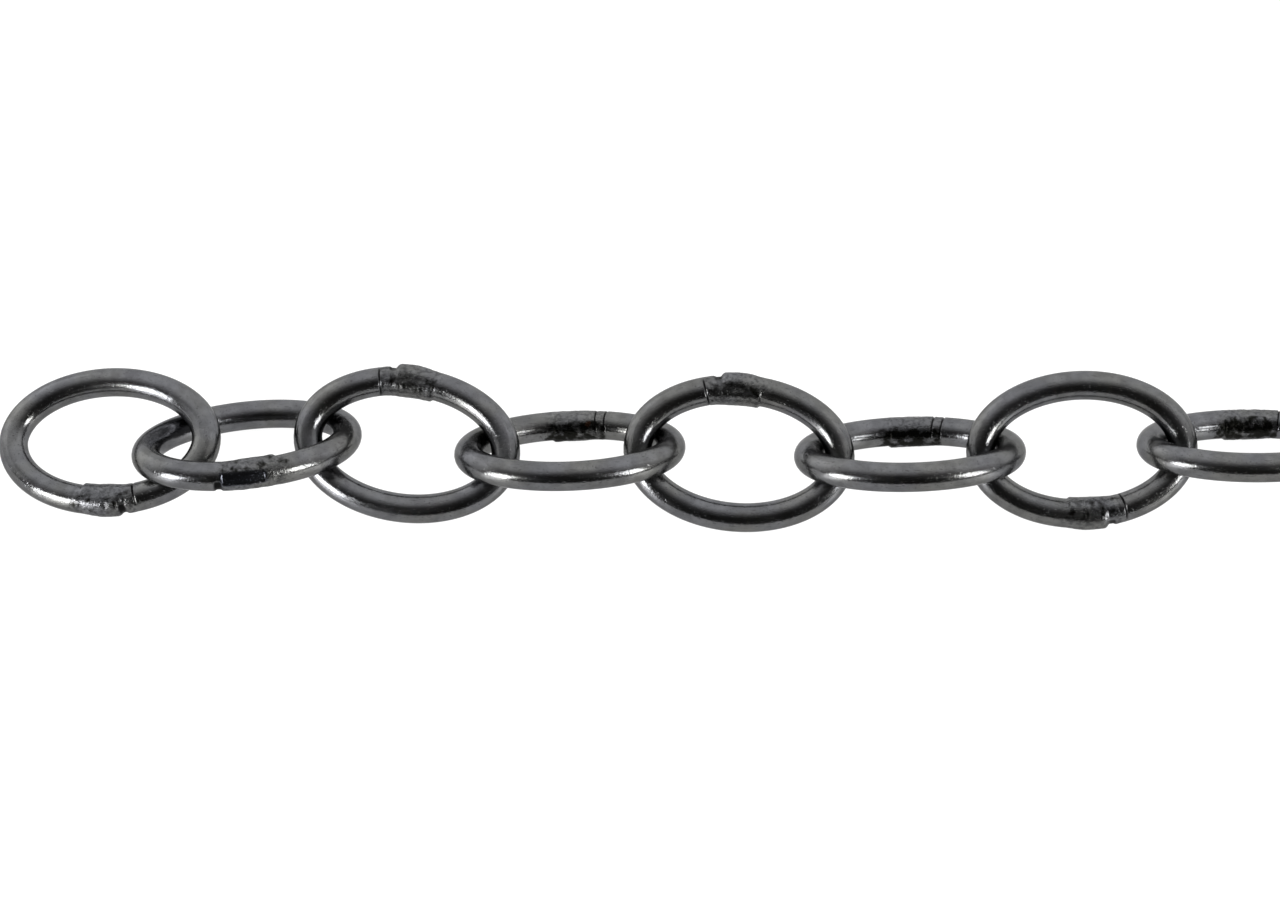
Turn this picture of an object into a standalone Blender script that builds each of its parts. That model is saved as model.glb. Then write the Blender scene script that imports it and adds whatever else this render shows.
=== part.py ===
# One metre of welded oval link chain, laid out in a line on a level surface with its free end slack.
# Units are metres and degrees, and +Z is up. The chain runs along X, and link_01 is its free end.
# Each link swings on the end of its neighbour, outwards on both sides from the root link.

from math import atan2, cos, pi, radians, sin

import bpy
from mathutils import Matrix, Vector

# The wire and the link that is bent from it.
WIRE_DIAMETER = 0.005
LINK_LENGTH = 0.0398
LINK_WIDTH = 0.027
LINK_COUNT = 34
ROOT_LINK = 8

# The play between the wires of two neighbours where the chain lies straight.
BEARING_GAP = 0.0004

# The butt weld's collar, in the middle of one long side.
COLLAR_LENGTH = 0.0064
COLLAR_CROWN = 0.0040
COLLAR_RISE = 0.0003

# The section is a regular polygon with the area of the round wire, so the link has its true weight.
SIDES = 12
SECTION_RADIUS = WIRE_DIAMETER / 2 * (2 * pi / (SIDES * sin(2 * pi / SIDES))) ** 0.5

# The oval is drawn with straight stretches that touch it at equal steps of its direction. That puts more
# of them on the tight ends, and one in the middle of each end and of each side.
STRETCHES = 20

# The lean of a link where the chain lies straight. Its neighbours lean the other way, as far over as the
# wires let them. The section is turned so that a link that leans like this stands on a face of its wire.
LEAN = 35
SECTION_TURN = -pi / SIDES - radians(LEAN - 30)
PITCH = LINK_LENGTH - 2 * WIRE_DIAMETER - BEARING_GAP

# How the links of the free end lie: the distance on from the link before, the place across the line,
# then the turn to the side, the tip of the far end and the lean. The line past them lies straight.
FREE_END = (
    (0, -0.0024, -6.7, 8.2, 14),
    (0.0241, -0.0043, 13.9, -6.2, -26.7),
    (0.0274, -0.0041, -10.8, 1.1, 26.5),
    (0.0282, -0.0060, 3.8, -0.9, -31.5),
    (0.0290, -0.0065, -5.2, -0.4, 32),
    (0.0293, -0.0070, 1.6, 1.1, -34),
    (0.0295, -0.0063, 1.9, 0.3, 35.5),
    (0.0294, -0.0053, 1.4, -0.3, -34.8),
)

STEEL_COLOUR = (0.34, 0.34, 0.35, 1)
STEEL_ROUGHNESS = 0.22


def clear_scene():
    for item in list(bpy.data.objects):
        bpy.data.objects.remove(item, do_unlink=True)


def steel():
    material = bpy.data.materials.new("polished_steel")
    material.use_nodes = True
    shader = material.node_tree.nodes["Principled BSDF"]
    shader.inputs["Base Color"].default_value = STEEL_COLOUR
    shader.inputs["Metallic"].default_value = 1
    shader.inputs["Roughness"].default_value = STEEL_ROUGHNESS
    return material


def half_axes():
    """The oval that the middle of the wire follows: half its length and half its width."""
    return (LINK_LENGTH - WIRE_DIAMETER) / 2, (LINK_WIDTH - WIRE_DIAMETER) / 2


def touching(number):
    """Where round the oval a stretch touches it, as the oval's own angle. Stretch 0 is the weld's."""
    half_length, half_width = half_axes()
    facing = pi / 2 + number * 2 * pi / STRETCHES
    angle = atan2(half_width * sin(facing), half_length * cos(facing))
    return angle + 2 * pi if number > STRETCHES / 4 else angle


def oval_stations():
    """The corners between the stretches, each with the scale of the section there."""
    half_length, half_width = half_axes()
    stations = []
    for number in range(STRETCHES):
        middle = (touching(number) + touching(number + 1)) / 2
        out = 1 / cos((touching(number + 1) - touching(number)) / 2)
        stations.append((half_length * out * cos(middle), half_width * out * sin(middle), 1))
    return stations


def collar_stations():
    """The weld's four stations on its stretch, between the last corner and the first."""
    _, side = half_axes()
    swollen = 1 + COLLAR_RISE / SECTION_RADIUS
    return [
        (COLLAR_LENGTH / 2, side, 1),
        (COLLAR_CROWN / 2, side, swollen),
        (-COLLAR_CROWN / 2, side, swollen),
        (-COLLAR_LENGTH / 2, side, 1),
    ]


def link_mesh(material):
    """One link lying flat round the origin, its length along X and its weld on the +Y side."""
    stations = oval_stations() + collar_stations()
    curve = bpy.data.curves.new("oval_wire", "CURVE")
    curve.dimensions = "3D"
    curve.bevel_depth = SECTION_RADIUS
    curve.bevel_resolution = SIDES // 2 - 2
    spline = curve.splines.new("POLY")
    spline.points.add(len(stations) - 1)
    spline.use_cyclic_u = True
    for point, (x, y, scale) in zip(spline.points, stations):
        point.co = (x, y, 0, 1)
        point.radius = scale
        point.tilt = SECTION_TURN
    wire = bpy.data.objects.new("oval_wire", curve)
    bpy.context.scene.collection.objects.link(wire)
    bpy.context.view_layer.update()
    mesh = bpy.data.meshes.new_from_object(wire.evaluated_get(bpy.context.evaluated_depsgraph_get()))
    mesh.name = "oval_link"
    bpy.data.objects.remove(wire, do_unlink=True)
    mesh.materials.clear()
    mesh.materials.append(material)
    mesh.shade_smooth()
    return mesh


def lay(number):
    """How a link lies, counted from 1: distance on, place across, turn, tip and lean."""
    if number <= len(FREE_END):
        return FREE_END[number - 1]
    return PITCH, FREE_END[-1][1], 0, 0, LEAN if number % 2 else -LEAN


def weld_is_near(number):
    """The weld is on the link's far side, except on the first link and on every fifth from the second."""
    return number == 1 or number % 5 == 2


def turned(number):
    """The rotation of a link as it lies."""
    _, _, turn, tip, lean = lay(number)
    flip = 180 if weld_is_near(number) else 0
    return (
        Matrix.Rotation(radians(turn), 4, "Z")
        @ Matrix.Rotation(radians(-tip), 4, "Y")
        @ Matrix.Rotation(radians(lean + flip), 4, "X")
    )


def link_places(mesh):
    """Each link's matrix, every link touching the surface, with the origin below the middle of the chain."""
    corners = [vertex.co.copy() for vertex in mesh.vertices]
    places = []
    along = 0
    low = Vector((0, 0, 0))
    high = Vector((0, 0, 0))
    for number in range(1, LINK_COUNT + 1):
        on, across, *_ = lay(number)
        along += on
        rotation = turned(number)
        spots = [rotation @ corner for corner in corners]
        foot = Vector((along, across, -min(spot.z for spot in spots)))
        places.append(Matrix.Translation(foot) @ rotation)
        for spot in spots:
            low = Vector(map(min, low, foot + spot))
            high = Vector(map(max, high, foot + spot))
    middle = Vector(((low.x + high.x) / 2, (low.y + high.y) / 2, 0))
    return [Matrix.Translation(-middle) @ place for place in places]


def swing_axis(place, next_place):
    """The next link rolls on the wire and slides round it, so its axis lies halfway between the direction
    of that wire, at the link's end, and the direction square to the next link's own plane."""
    wire = place.col[1].xyz
    square = next_place.col[2].xyz
    if wire.dot(square) < 0:
        square = -square
    return (wire + square).normalized()


def swing_sign(axis, outwards, step):
    """Which way round the axis is positive. Up, down, down, up folds the run into a zigzag."""
    raising = 1 if axis.cross(outwards).z > 0 else -1
    return raising * (1, -1, -1, 1)[(step - 1) % 4]


def bearing(place, next_place, side, step):
    """The middle of the wire at a link's +X end (side 1) or -X end (side -1), with Y along the next link's axis."""
    half_length, _ = half_axes()
    outwards = side * place.col[0].xyz
    axis = swing_axis(place, next_place)
    axis *= swing_sign(axis, outwards, step)
    upright = outwards.cross(axis).normalized()
    frame = Matrix((axis.cross(upright), axis, upright)).transposed().to_4x4()
    frame.translation = place.translation + outwards * half_length
    return frame


def add_link(number, mesh, place, hinge=None):
    """A link that hangs on a hinge, or the root."""
    link = bpy.data.objects.new(f"link_{number:02d}", mesh)
    bpy.context.scene.collection.objects.link(link)
    if hinge:
        link.parent = hinge
        link.matrix_basis = hinge.matrix_world.inverted() @ place
    else:
        link.matrix_basis = place
    bpy.context.view_layer.update()
    return link


def add_hinge(number, link, place):
    """An empty on the bearing of a link's end. The next link outwards swings about its Y axis."""
    hinge = bpy.data.objects.new(f"swing_{number:02d}", None)
    hinge.empty_display_size = WIRE_DIAMETER
    bpy.context.scene.collection.objects.link(hinge)
    hinge.parent = link
    hinge.matrix_basis = link.matrix_world.inverted() @ place
    bpy.context.view_layer.update()
    return hinge


def add_run(root, side, mesh, places):
    """The links from the root to one end of the chain, each on the one before."""
    link = root
    numbers = range(ROOT_LINK + 1, LINK_COUNT + 1) if side > 0 else range(ROOT_LINK - 1, 0, -1)
    for step, number in enumerate(numbers, start=1):
        place = places[number - 1]
        hinge = add_hinge(number, link, bearing(link.matrix_world, place, side, step))
        link = add_link(number, mesh, place, hinge)


def build_chain():
    mesh = link_mesh(steel())
    places = link_places(mesh)
    root = add_link(ROOT_LINK, mesh, places[ROOT_LINK - 1])
    add_run(root, -1, mesh, places)
    add_run(root, 1, mesh, places)


clear_scene()
build_chain()
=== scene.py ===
from collections import namedtuple
from math import cos, pi, radians, sin, tan

import bpy
import numpy as np
from mathutils import Matrix, Vector


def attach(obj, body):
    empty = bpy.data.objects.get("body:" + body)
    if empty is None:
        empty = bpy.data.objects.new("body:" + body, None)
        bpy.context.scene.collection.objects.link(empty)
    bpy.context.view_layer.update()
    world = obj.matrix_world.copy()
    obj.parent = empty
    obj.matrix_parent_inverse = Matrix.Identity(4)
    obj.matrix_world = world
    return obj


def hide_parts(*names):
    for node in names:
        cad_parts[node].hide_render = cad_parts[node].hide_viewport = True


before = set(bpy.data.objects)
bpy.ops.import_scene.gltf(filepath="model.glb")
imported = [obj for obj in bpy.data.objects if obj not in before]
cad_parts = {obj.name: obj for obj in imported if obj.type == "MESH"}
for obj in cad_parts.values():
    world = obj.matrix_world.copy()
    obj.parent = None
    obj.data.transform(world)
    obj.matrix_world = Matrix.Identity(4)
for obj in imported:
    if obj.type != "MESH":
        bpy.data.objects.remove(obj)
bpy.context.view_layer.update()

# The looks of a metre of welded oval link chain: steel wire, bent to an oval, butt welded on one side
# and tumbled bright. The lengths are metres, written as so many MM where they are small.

MM = 0.001

# The link, and half the length and width of the oval that the middle of its wire follows.
WIRE_DIAMETER = 5 * MM
WIRE_RADIUS = WIRE_DIAMETER / 2
LINK_LENGTH = 39.8 * MM
LINK_WIDTH = 27 * MM
HALF_LENGTH = (LINK_LENGTH - WIRE_DIAMETER) / 2
HALF_WIDTH = (LINK_WIDTH - WIRE_DIAMETER) / 2

# How finely a link is drawn: points round the wire, steps that the oval is measured with, and the steps
# along the wire near the weld and elsewhere.
ROUND = 48
OVAL_STEPS = 4000
WELD_REACH = 10 * MM
WELD_STEP = 0.12 * MM
WIRE_STEP = 0.9 * MM

# How near to a solid's tips a point has to be to count as one of them.
TIP_DEPTH = 0.1 * MM

# The butt weld is told in MM. Its places are along the wire from the slit that the dies left at its one
# end, and a rise or a fall is where it starts and where it ends. The swelling on the outer side starts
# with a step and fades. The one on the inner side grows and ends with a step.
WELD_LENGTH = 10.2
SIDE_FADE = (-0.2, 0.6)
OUTER_RISE = (2.7, 3.6)
OUTER_FALL = (5.5, WELD_LENGTH)
INNER_HEIGHT = 0.36
INNER_RISE = (0.3, 5.5)
INNER_FALL = (WELD_LENGTH - 0.9, WELD_LENGTH - 0.3)

# The lumps all over a weld: how high they are, in MM, and how large. They are a sum of several waves,
# cut off where it gets past LUMP_CUT_OFF.
LUMPS = ((0.04, 1.3 * MM), (0.02, 0.5 * MM))
LUMPS_RISE = (0.2, 0.9)
LUMPS_FALL = (WELD_LENGTH - 0.6, WELD_LENGTH + 0.6)
LUMP_WAVES = 12
LUMP_CUT_OFF = 5

# The slits, open to one side of the wire and wavering once and twice round it. From a certain depth
# down the slits and the notch are painted black, as painted shade.
SLIT_WIDTH = 0.12
SLIT_DEPTH = 0.24
SLIT_TURN = 112
SLIT_FADE = (0.15, 0.55)
SLIT_WAVERS = (0.22, 0.08)
SECOND_SLIT = 1.7
PAINTED_SHADE_DEPTH = 0.4 * SLIT_DEPTH

# The notch of a weld with no slit and with one: its place, the side that it is on, in degrees from the
# outer one, and how squarely a point has to face that side. A weld with two slits has no notch.
NOTCH_WIDTH = 0.55
NOTCH_DEPTH = 0.26
NOTCHES = {0: (-0.3, 50, (0.4, 0.9)), 1: (2.4, 0, (0.55, 0.9))}

# The press leaves a plane on the outer side, where the wire faces it more squarely than PRESS_EDGE. A
# smooth panel that it left is shorter than the weld and turned a little, and is painted dark navy as a
# painted dark reflection.
PRESS_RISE = (0.1, 0.5)
PRESS_FALL = 1
PRESS_EDGE = 0.5
PANEL_LENGTH = 6.9
PANEL_TURN = -12
PANEL_FADE = (0.86, 0.93)

# The marks on the weld's surface. The burnt band fades between two angles from its middle, in degrees,
# and the rust is a spot beside that middle.
SCALE_RISE = (-0.8, 0.6)
SCALE_FALL = (WELD_LENGTH - 1, WELD_LENGTH + 2)
BURNT_RISE = (-0.6, 1.2)
BURNT_FALL = (9.8, 13.3)
BURNT_BAND = (22, 62)
RUST_PLACE = 3.2
RUST_SIZE = 0.7
RUST_TURN = -38
RUST_HALF_WIDTH = 14

# The insides of a link's two ends are worn by its neighbours: how deep, in MM, and where.
WEAR_DEPTH = 0.05
WEAR_ENDS = (0.985, 1)
WEAR_SIDE = (0.6, 1)

# A weld: where its slit is, from the middle of the side, which way it lies from there, how proud its outer
# swelling stands and how far out that is pressed flat, the number of slits, which way round the wire it is
# most burnt, in degrees from the outer side, and how burnt and rusty it is. The second one has no slit. It
# is pressed in to a smooth flat panel with a notch at its end.
Weld = namedtuple("Weld", "slit hand swell flat slits face burnt rust")

# The welds of the links at the free end.
SEEN_WELDS = {
    1: Weld(6.5, -1, 0.35, 0.3, 1, -58, 0.25, 0),
    2: Weld(-6.3, 1, 0, -0.26, 0, -75, 0.3, 0),
    3: Weld(-6.4, 1, 0.5, 0.4, 1, 108, 0.28, 0),
    4: Weld(7.1, -1, 0, 0.3, 2, 192, 1, 1),
    5: Weld(-6.6, 1, 0.45, 0.38, 1, 108, 0.28, 0),
    6: Weld(6.8, -1, 0, 0.3, 2, 194, 1, 0.3),
    7: Weld(6.7, -1, 0.42, 0.34, 1, -108, 0.28, 0.3),
    8: Weld(6.4, -1, 0, 0.3, 1, 184, 1, 0),
}

# The other links' welds are random ones with one slit or two, which decides how they are burnt.
OTHER_SLIT = (5.8, 6.8)
OTHER_SWELL = (0.3, 0.5)
OTHER_FLAT = 0.35
OTHER_FACE = {1: 108, 2: 190}
OTHER_BURNT = {1: (0.2, 0.35), 2: (0.7, 1)}
OTHER_RUST = (0, 0.5)

# The steel: its mean colour, its mottled one from dark to light, and the faint tinges that come over it.
STEEL_COLOUR = (0.12, 0.12, 0.122, 1)
DARK_STEEL = (0.1, 0.1, 0.1015, 1)
LIGHT_STEEL = (0.138, 0.138, 0.14, 1)
WARM_TINGE = (1, 0.998, 0.95, 1)
COOL_TINGE = (0.975, 0.985, 1.02, 1)
EDGE_TINT = (0.6, 0.6, 0.6, 1)

# The steel's mean roughness, that from its smoothest to its roughest line, and what scale adds to it.
STEEL_ROUGHNESS = 0.2
LINE_ROUGHNESS = (0.16, 0.24)
SCALE_ROUGHNESS = 0.06

# The steel's patterns: how large their grains are and how finely they are broken up.
PATTERNS = {
    "mottle": (2.2 * MM, 5),
    "tinge": (9 * MM, 2),
    "grain": (0.35 * MM, 3),
    "blotches": (0.7 * MM, 5),
    "dents": (0.55 * MM, 1),
    "pits": (0.3 * MM, 1),
    "ragged": (1.3 * MM, 8),
}

# The patterns along the wire: how fast they change along and round it, and how finely they are broken up.
WIRE_PATTERNS = {
    "lines": (0.12, 3.5, 4),
    "scratches": (0.8, 14, 1),
}

# The values between which a pattern, or a mark with a pattern added to it, comes out.
SPANS = {
    "mottle": (0.3, 0.7),
    "tinge": (0.35, 0.65),
    "blotches": (0.44, 0.64),
    "dents": (0.62, 0.76),
    "pits": (0.66, 0.73),
    "scratches": (0.66, 0.73),
    "lines": (0.3, 0.75),
    "burnt": (0.03, 0.25),
    "ragged": (2.1, 3),
    "rust": (0.75, 1.1),
}

# The ragged edge of burnt steel and of rust: a mark with so much of a pattern added to it.
RAGGED = {"burnt": 1, "ragged": 4}
RUSTY = {"rust": 1, "blotches": 0.8}

# What lies on the steel, from the lowest up, with the painted shade in the slits and the notch and the
# painted dark reflection on the smooth panel: the most of it that is covered, and the colour.
LAYERS = {
    "scratches": (0.5, (0.035, 0.035, 0.035, 1)),
    "pits": (0.6, (0.02, 0.02, 0.02, 1)),
    "scale": (0.55, (0.028, 0.028, 0.03, 1)),
    # Painted dark reflection: the smooth panel is painted dark navy.
    "panel_painted_dark": (0.5, (0.048, 0.055, 0.083, 1)),
    "burnt": (0.96, (0.006, 0.006, 0.0045, 1)),
    "rust": (0.55, (0.06, 0.025, 0.014, 1)),
    # Painted shade: the slits and the notch are painted near black from a certain depth down.
    "cut_painted_shade": (1, (0.006, 0.006, 0.006, 1)),
}

# The fine relief of the steel: how much each pattern has in it, and in the rugged skin on scale.
RELIEF = {"lines": 0.15, "grain": 1.1, "dents": -0.8, "pits": -0.6, "scratches": -0.3}
RUGGED = {"grain": 1.5, "blotches": 2.8}
RELIEF_DEPTH = 0.03 * MM
RELIEF_STRENGTH = 0.6

# The camera looks along +Y and down at the free end of the chain.
CAMERA_ELEVATION = 55
CAMERA_DISTANCE = 0.588
CAMERA_TARGET = Vector((-0.3890, 0.0038, 0))
VIEW_WIDTH = 0.2238
SENSOR_WIDTH = 36

# The studio: pale walls behind the chain that fade to a dark ceiling and front, and the soft boxes, each
# with its azimuth from the front towards +X, its elevation, its width and height in degrees, and how
# bright it is.
PALE_WALL = (180, 20)
WALL_SPREAD = (125, 45)
DARK_LIGHT = (0.032, 0.031, 0.029)
WALL_LIGHT = (1.41, 1.42, 1.44)
LIGHT_DISTANCE = 1.3
SOFT_BOXES = {
    "left_box": (-52, 15, 19, 24, 18.5),
    "right_box": (53, 23, 16, 24, 15.5),
    "rear_box": (-110, 16, 68, 50, 0.62),
    "side_box": (88, 35, 40, 46, 0.45),
}

# The floor is a lit white table top: what it gives off itself comes on top of what it reflects.
FLOOR_DROP = 0.1 * MM
FLOOR_SIZE = 8
FLOOR_COLOUR = (0.14, 0.14, 0.14, 1)
FLOOR_GLOW = 0.98
FLOOR_ROUGHNESS = 0.35


def smooth(value, start, end):
    """0 before start and 1 after end, with a smooth rise between them."""
    share = np.clip((value - start) / (end - start), 0, 1)
    return share * share * (3 - 2 * share)


def between(value, rise, fall):
    """1 from the end of a rise to the start of a fall, and 0 outside the two."""
    return smooth(value, *rise) * (1 - smooth(value, *fall))


def bell(value, middle, width, power=2):
    """1 at the middle and almost 0 at twice that width from it."""
    return np.exp(-(((value - middle) / width) ** power))


def facing(turn, side):
    """How squarely the wire's surface faces a side, in degrees from the outer one: from -1 to 1."""
    return np.cos(turn - radians(side))


def lumps(spots, size, random):
    """Smooth random hills, from -1 to 1, of about that size."""
    height = 0
    for _ in range(LUMP_WAVES):
        direction = random.normal(size=3)
        height = height + np.cos(spots @ (direction * 2 / size) + random.uniform(0, 2 * pi))
    return np.clip(height / LUMP_CUT_OFF, -1, 1)


def oval_way():
    """The oval's own angle against the way along it, from the middle of its +Y side and towards +X."""
    angle = pi / 2 - np.linspace(0, 2 * pi, OVAL_STEPS + 1)
    x, y = HALF_LENGTH * np.cos(angle), HALF_WIDTH * np.sin(angle)
    return angle, np.concatenate([[0], np.cumsum(np.hypot(np.diff(x), np.diff(y)))])


def stations(round_trip):
    """The way along the wire of each ring of points, close together at the weld."""
    near = np.arange(0, WELD_REACH, WELD_STEP)
    far = np.arange(WELD_REACH, round_trip - WELD_REACH, WIRE_STEP)
    return np.concatenate([near, far, round_trip - near[:0:-1]])


def wire_spots(angle, turn):
    """The points of the bare wire, and the way out of the wire at each."""
    middle = np.concatenate([HALF_LENGTH * np.cos(angle), HALF_WIDTH * np.sin(angle), 0 * angle], 1)
    out = np.concatenate([HALF_WIDTH * np.cos(angle), HALF_LENGTH * np.sin(angle), 0 * angle], 1)
    out /= np.linalg.norm(out, axis=1, keepdims=True)
    away = np.cos(turn)[:, :, None] * out[:, None] + np.sin(turn)[:, :, None] * np.array([0, 0, 1])
    return middle[:, None] + WIRE_RADIUS * away, away


def closed_faces(rings):
    """The faces between each ring of points and the next one, and between the last and the first."""
    ring, around = np.meshgrid(np.arange(rings), np.arange(ROUND), indexing="ij")
    next_ring, next_around = (ring + 1) % rings, (around + 1) % ROUND
    corners = [(ring, around), (ring, next_around), (next_ring, next_around), (next_ring, around)]
    return np.stack([a * ROUND + b for a, b in corners], 2).reshape(-1, 4)


def weld_of(number, random):
    """A link's weld, one that the picture shows or one like them."""
    if number in SEEN_WELDS:
        return SEEN_WELDS[number]
    hand = random.choice((-1, 1))
    slits = random.integers(1, 3)
    swell = 0 if slits == 2 else random.uniform(*OTHER_SWELL)
    burnt = random.uniform(*OTHER_BURNT[slits])
    slit = -hand * random.uniform(*OTHER_SLIT)
    rust = random.uniform(*OTHER_RUST)
    return Weld(slit, hand, swell, OTHER_FLAT, slits, OTHER_FACE[slits], burnt, rust)


def swelling(past_slit, turn, spots, weld, random):
    """How far the weld stands out before it is pressed and cut, in MM."""
    outer = smooth(facing(turn, 0), *SIDE_FADE)
    inner = smooth(facing(turn, 180), *SIDE_FADE)
    height = weld.swell * outer * between(past_slit, OUTER_RISE, OUTER_FALL)
    height = height + INNER_HEIGHT * inner * between(past_slit, INNER_RISE, INNER_FALL)
    within = between(past_slit, LUMPS_RISE, LUMPS_FALL)
    for lump_height, size in LUMPS:
        height = height + lump_height * within * lumps(spots, size, random)
    return height


def press(past_slit, turn, weld):
    """How far out the press lets the weld stand, in MM, and how much of a point is in a smooth panel."""
    has_panel = weld.flat < 0
    square = facing(turn, PANEL_TURN * has_panel)
    end = PANEL_LENGTH if has_panel else 2 * WELD_LENGTH
    fall = (end, end + PRESS_FALL)
    radius = WIRE_RADIUS / MM
    limit = (radius + weld.flat) / np.maximum(square, PRESS_EDGE) - radius
    # Before and after the pressed stretch, the limit is 1 MM further out, which nothing reaches.
    limit = limit + 1 - between(past_slit, PRESS_RISE, fall)
    # This share of the smooth panel is later painted dark navy, as a painted dark reflection.
    panel_painted_dark = has_panel * smooth(square, *PANEL_FADE) * (past_slit > 0) * (1 - smooth(past_slit, *fall))
    return limit, panel_painted_dark


def cuts(past_slit, turn, weld, random):
    """How deep a point is in a slit or the notch, in MM."""
    waver = 0
    for times, width in enumerate(SLIT_WAVERS, 1):
        waver = waver + width * np.sin(times * turn + random.uniform(0, 2 * pi))
    open_side = smooth(facing(turn, SLIT_TURN * np.sign(weld.face)), *SLIT_FADE)
    depth = 0
    for place in (0, SECOND_SLIT)[:weld.slits]:
        depth = depth + SLIT_DEPTH * open_side * bell(past_slit - waver, place, SLIT_WIDTH)
    if weld.slits in NOTCHES:
        place, side, fade = NOTCHES[weld.slits]
        open_side = smooth(facing(turn, side), *fade)
        depth = depth + NOTCH_DEPTH * open_side * bell(past_slit, place, NOTCH_WIDTH, 4)
    return depth


def weld_marks(past_slit, turn, cut, panel_painted_dark, weld):
    """How much of each point's surface is scale, smooth panel painted dark as a painted reflection, burnt
    steel, rust, or a cut painted black as painted shade.
    """
    from_face = np.degrees((turn - radians(weld.face) + pi) % (2 * pi) - pi)
    band = 1 - smooth(np.abs(from_face), *BURNT_BAND)
    rust_spot = bell(past_slit, RUST_PLACE, RUST_SIZE) * bell(from_face, RUST_TURN, RUST_HALF_WIDTH)
    return {
        "scale": between(past_slit, SCALE_RISE, SCALE_FALL) * (1 - panel_painted_dark),
        "panel_painted_dark": panel_painted_dark,
        "burnt": weld.burnt * band * between(past_slit, BURNT_RISE, BURNT_FALL) * (1 - panel_painted_dark),
        "rust": weld.rust * rust_spot,
        # The slits and the notch are painted black from a depth down, as painted shade.
        "cut_painted_shade": np.clip(cut / PAINTED_SHADE_DEPTH, 0, 1),
    }


def link_mesh(name, place, number):
    """A link in place, with the way along and round its wire and its weld's marks as attributes."""
    random = np.random.default_rng(number)
    weld = weld_of(number, random)
    angles, ways = oval_way()
    round_trip = ways[-1]
    way = stations(round_trip)[:, None]
    angle = np.interp(way, ways, angles)
    turn = np.linspace(0, 2 * pi, ROUND, endpoint=False)[None]
    spots, away = wire_spots(angle, turn)

    from_middle = np.where(way > round_trip / 2, way - round_trip, way) / MM
    past_slit = (from_middle - weld.slit) * weld.hand
    height = swelling(past_slit, turn, spots, weld, random)
    limit, panel_painted_dark = press(past_slit, turn, weld)
    cut = cuts(past_slit, turn, weld, random)
    wear = WEAR_DEPTH * smooth(np.abs(np.cos(angle)), *WEAR_ENDS) * smooth(facing(turn, 180), *WEAR_SIDE)
    relief = np.minimum(height, limit) - cut - wear
    spots = spots + relief[:, :, None] * MM * away

    matrix = np.array(place)
    mesh = bpy.data.meshes.new(name)
    mesh.from_pydata(spots.reshape(-1, 3) @ matrix[:3, :3].T + matrix[:3, 3], [], closed_faces(len(way)))
    mesh.shade_smooth()
    for mark, values in weld_marks(past_slit, turn, cut, panel_painted_dark, weld).items():
        add_values(mesh, mark, values, "FLOAT", "value")
    along = np.broadcast_to(way / MM, relief.shape)
    wire = np.stack([along, 0 * along + np.cos(turn), 0 * along + np.sin(turn)], 2)
    add_values(mesh, "wire", wire, "FLOAT_VECTOR", "vector")
    return mesh


def add_values(mesh, name, values, kind, field):
    """A value for each point of a mesh, for its material to read."""
    made = mesh.attributes.new(name, kind, "POINT")
    made.data.foreach_set(field, values.astype(np.float32).ravel())


def place_of(node):
    """Where a link lies, read from its solid: its length, the way to its weld, its plane and its middle."""
    spots = np.unique(np.round([vertex.co for vertex in node.data.vertices], 6), axis=0)
    _, axes = np.linalg.eigh(np.cov(spots.T))
    along = axes[:, 2] * np.sign(axes[0, 2])
    reach = spots @ along
    tips = (reach < reach.min() + TIP_DEPTH) | (reach > reach.max() - TIP_DEPTH)
    middle = spots[tips].mean(0)
    to_weld = axes[:, 1] * np.sign((spots.mean(0) - middle) @ axes[:, 1])
    out = np.cross(along, to_weld)
    middle += out * ((spots.mean(0) - middle) @ out)
    place = Matrix.Identity(4)
    for column, axis in enumerate((along, to_weld, out, middle)):
        place.col[column].xyz = axis
    return place


def new_material(name, colour, metallic, roughness):
    """A material with the parts of its look that are the same all over, its node tree and its shader."""
    material = bpy.data.materials.new(name)
    material.use_nodes = True
    shader = material.node_tree.nodes["Principled BSDF"]
    shader.inputs["Base Color"].default_value = colour
    shader.inputs["Metallic"].default_value = metallic
    shader.inputs["Roughness"].default_value = roughness
    return material, material.node_tree, shader


def add_node(tree, kind, settings=None, **inputs):
    """A node with its settings and inputs. An input is a number, a colour or another node's output."""
    node = tree.nodes.new("ShaderNode" + kind)
    for key, value in (settings or {}).items():
        setattr(node, key, value)
    for key, value in inputs.items():
        socket = node.inputs[int(key[1:])] if key[1:].isdigit() else node.inputs[key.replace("_", " ")]
        if isinstance(value, bpy.types.NodeSocket):
            tree.links.new(value, socket)
        else:
            socket.default_value = value
    return node


def read(tree, name, output="Fac"):
    """What a mesh holds for each of its points under that name."""
    return add_node(tree, "Attribute", {"attribute_name": name}).outputs[output]


def maths(tree, operation, first, second, third=0):
    return add_node(tree, "Math", {"operation": operation}, i0=first, i1=second, i2=third).outputs[0]


def weighted(tree, found, weights):
    """The sum of some patterns, each times its weight."""
    total = 0
    for name, weight in weights.items():
        total = maths(tree, "MULTIPLY_ADD", found[name], weight, total)
    return total


def noise(tree, vector, size, detail):
    """Noise from about 0 to 1 whose grains are about as large as the vector's numbers times size."""
    return add_node(tree, "TexNoise", Vector=vector, Scale=1 / size, Detail=detail).outputs[0]


def stretched(tree, wire, along, around):
    """The place on the wire with its two directions scaled: the way along, in MM, and the turn round."""
    return add_node(tree, "Mapping", Vector=wire, Scale=(along, around, around)).outputs[0]


def step(tree, value, start, end, low=0, high=1):
    """Low before start and high after end, smooth between them."""
    settings = {"interpolation_type": "SMOOTHSTEP"}
    return add_node(tree, "MapRange", settings, i0=value, i1=start, i2=end, i3=low, i4=high).outputs[0]


def tint(tree, share, first, second, blend="MIX"):
    """The first colour, with a share of the second mixed into it or multiplied on it."""
    settings = {"data_type": "RGBA", "blend_type": blend}
    return add_node(tree, "Mix", settings, i0=share, i6=first, i7=second).outputs[2]


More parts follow.
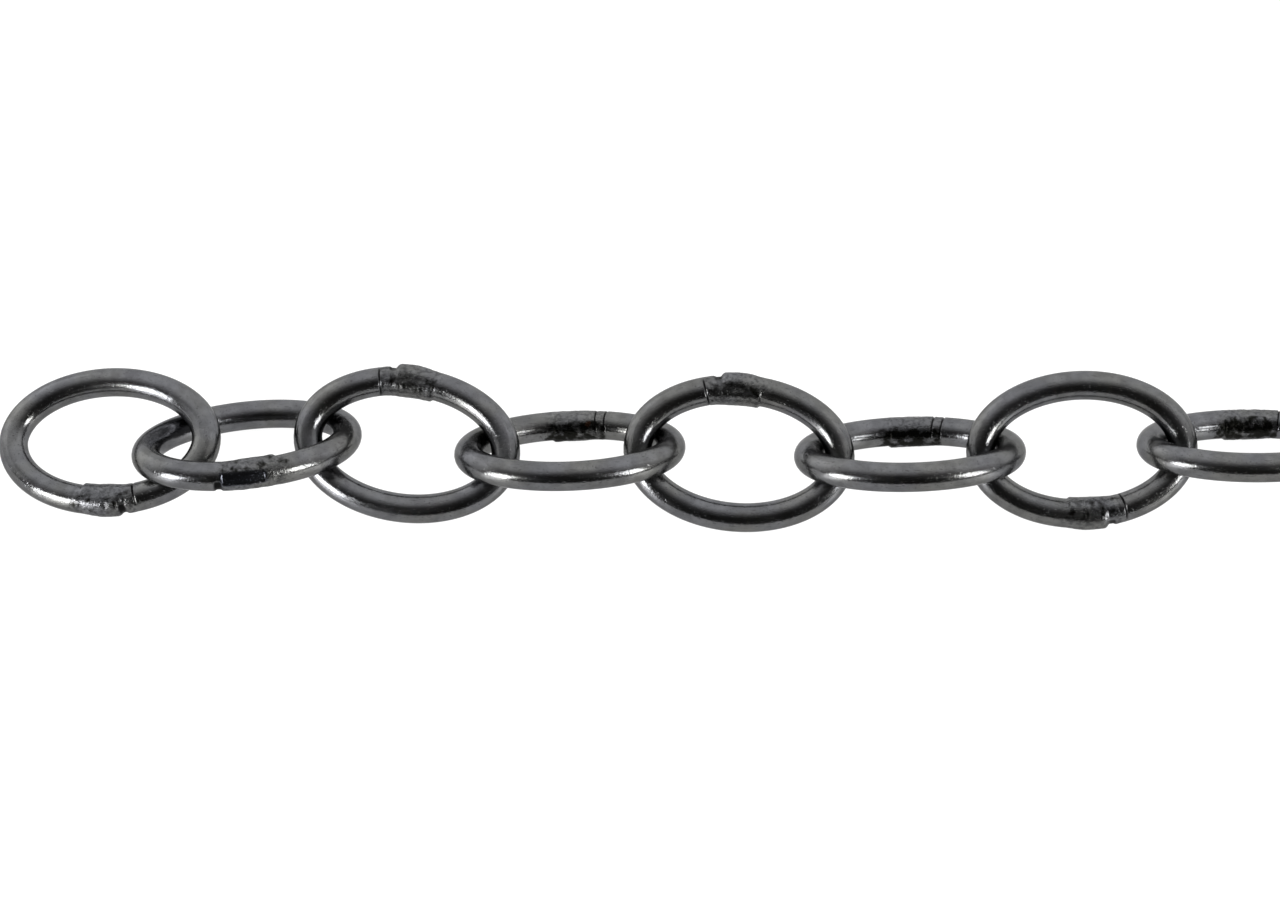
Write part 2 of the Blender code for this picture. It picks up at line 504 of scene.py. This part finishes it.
def steel_patterns(tree):
    """The marks that the mesh holds, and the patterns that the steel has all over."""
    found = {name: read(tree, name) for name in ("scale", "panel_painted_dark", "burnt", "rust", "cut_painted_shade")}
    spot = add_node(tree, "TexCoord").outputs["Object"]
    for name, (size, detail) in PATTERNS.items():
        found[name] = noise(tree, spot, size, detail)
    wire = read(tree, "wire", "Vector")
    for name, (along, around, detail) in WIRE_PATTERNS.items():
        found[name] = noise(tree, stretched(tree, wire, along, around), 1, detail)
    for name in ("dents", "pits", "scratches"):
        found[name] = step(tree, found[name], *SPANS[name])
    return found


def steel_colour(tree, found):
    """Mottled steel with a faint tinge, and in layers on it what covers it, with painted shade in the slits
    and the notch and a painted dark reflection on the smooth panel.
    """
    colour = tint(tree, step(tree, found["mottle"], *SPANS["mottle"]), DARK_STEEL, LIGHT_STEEL)
    tinge = tint(tree, step(tree, found["tinge"], *SPANS["tinge"]), WARM_TINGE, COOL_TINGE)
    colour = tint(tree, 1, colour, tinge, "MULTIPLY")

    blotched = step(tree, found["blotches"], *SPANS["blotches"])
    ragged = step(tree, weighted(tree, found, RAGGED), *SPANS["ragged"])
    burnt = step(tree, found["burnt"], *SPANS["burnt"])
    shares = {
        **found,
        "scale": maths(tree, "MULTIPLY", found["scale"], blotched),
        "burnt": maths(tree, "MULTIPLY", ragged, burnt),
        "rust": step(tree, weighted(tree, found, RUSTY), *SPANS["rust"]),
    }
    for name, (most, layer_colour) in LAYERS.items():
        colour = tint(tree, maths(tree, "MULTIPLY", shares[name], most), colour, layer_colour)
    return colour


def steel_relief(tree, found):
    """Drawn lines, grain, dents, pits and scratches, and a rugged skin where there is scale."""
    rugged = weighted(tree, found, RUGGED)
    height = maths(tree, "MULTIPLY_ADD", found["scale"], rugged, weighted(tree, found, RELIEF))
    bump = add_node(tree, "Bump", Height=height, Strength=RELIEF_STRENGTH, Distance=RELIEF_DEPTH)
    return bump.outputs[0]


def steel():
    """Bright steel wire with drawn lines, grain and pits, rough and blotched at its weld, a little rusty."""
    material, tree, shader = new_material("polished_steel", STEEL_COLOUR, 1, STEEL_ROUGHNESS)
    shader.inputs["Specular Tint"].default_value = EDGE_TINT
    found = steel_patterns(tree)
    roughness = step(tree, found["lines"], *SPANS["lines"], *LINE_ROUGHNESS)
    roughness = maths(tree, "MULTIPLY_ADD", found["scale"], SCALE_ROUGHNESS, roughness)
    tree.links.new(steel_colour(tree, found), shader.inputs["Base Color"])
    tree.links.new(roughness, shader.inputs["Roughness"])
    tree.links.new(steel_relief(tree, found), shader.inputs["Normal"])
    return material


def add_links():
    """Every link of the chain, in the place of its solid."""
    material = steel()
    for number in range(1, len(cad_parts) + 1):
        node_name = f"link_{number:02d}"
        name = f"steel_link_{number:02d}"
        mesh = link_mesh(name, place_of(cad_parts[node_name]), number)
        mesh.materials.append(material)
        link = bpy.data.objects.new(name, mesh)
        bpy.context.scene.collection.objects.link(link)
        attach(link, node_name)
        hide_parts(node_name)


def add_floor():
    """A white table top just under the chain."""
    bpy.ops.mesh.primitive_plane_add(size=FLOOR_SIZE, location=(0, 0, -FLOOR_DROP))
    floor = bpy.context.object
    floor.name = "pale_floor"
    material, _, shader = new_material("pale_floor", FLOOR_COLOUR, 0, FLOOR_ROUGHNESS)
    shader.inputs["Emission Color"].default_value = (1, 1, 1, 1)
    shader.inputs["Emission Strength"].default_value = FLOOR_GLOW
    floor.data.materials.append(material)


def towards(azimuth, elevation):
    """The direction at an azimuth from the front towards +X, and an elevation, in degrees."""
    side, up = radians(azimuth), radians(elevation)
    return Vector((sin(side) * cos(up), -cos(side) * cos(up), sin(up)))


def add_soft_box(name, azimuth, elevation, width, height, brightness):
    """A lit panel that faces the middle of the view and doesn't show in it."""
    data = bpy.data.lights.new(name, "AREA")
    light = bpy.data.objects.new(name, data)
    bpy.context.scene.collection.objects.link(light)
    data.shape = "RECTANGLE"
    data.size = 2 * LIGHT_DISTANCE * tan(radians(width / 2))
    data.size_y = 2 * LIGHT_DISTANCE * tan(radians(height / 2))
    data.energy = brightness * pi * data.size * data.size_y
    direction = towards(azimuth, elevation)
    light.location = CAMERA_TARGET + LIGHT_DISTANCE * direction
    light.rotation_euler = (-direction).to_track_quat("-Z", "Y").to_euler()
    light.visible_camera = False


def add_world():
    """Pale walls behind the chain that fade to a dark ceiling and front."""
    world = bpy.data.worlds.new("studio")
    world.use_nodes = True
    tree = world.node_tree
    view = add_node(tree, "TexCoord").outputs["Generated"]
    near = add_node(tree, "VectorMath", {"operation": "DOT_PRODUCT"}, i0=view, i1=towards(*PALE_WALL))
    share = step(tree, near.outputs["Value"], *(cos(radians(angle)) for angle in WALL_SPREAD))
    share = maths(tree, "MULTIPLY", share, share)
    light = tint(tree, share, (*DARK_LIGHT, 1), (*WALL_LIGHT, 1))
    tree.links.new(light, tree.nodes["Background"].inputs["Color"])
    bpy.context.scene.world = world


def add_camera():
    """The picture's view of the free end."""
    camera = bpy.data.objects.new("camera", bpy.data.cameras.new("camera"))
    bpy.context.scene.collection.objects.link(camera)
    camera.data.sensor_width = SENSOR_WIDTH
    camera.data.lens = SENSOR_WIDTH * CAMERA_DISTANCE / VIEW_WIDTH
    camera.location = CAMERA_TARGET + CAMERA_DISTANCE * towards(0, CAMERA_ELEVATION)
    camera.rotation_euler = (radians(90 - CAMERA_ELEVATION), 0, 0)
    bpy.context.scene.camera = camera


add_links()
add_floor()
for box_name, box in SOFT_BOXES.items():
    add_soft_box(box_name, *box)
add_world()
add_camera()
bpy.context.scene.view_settings.view_transform = "Standard"
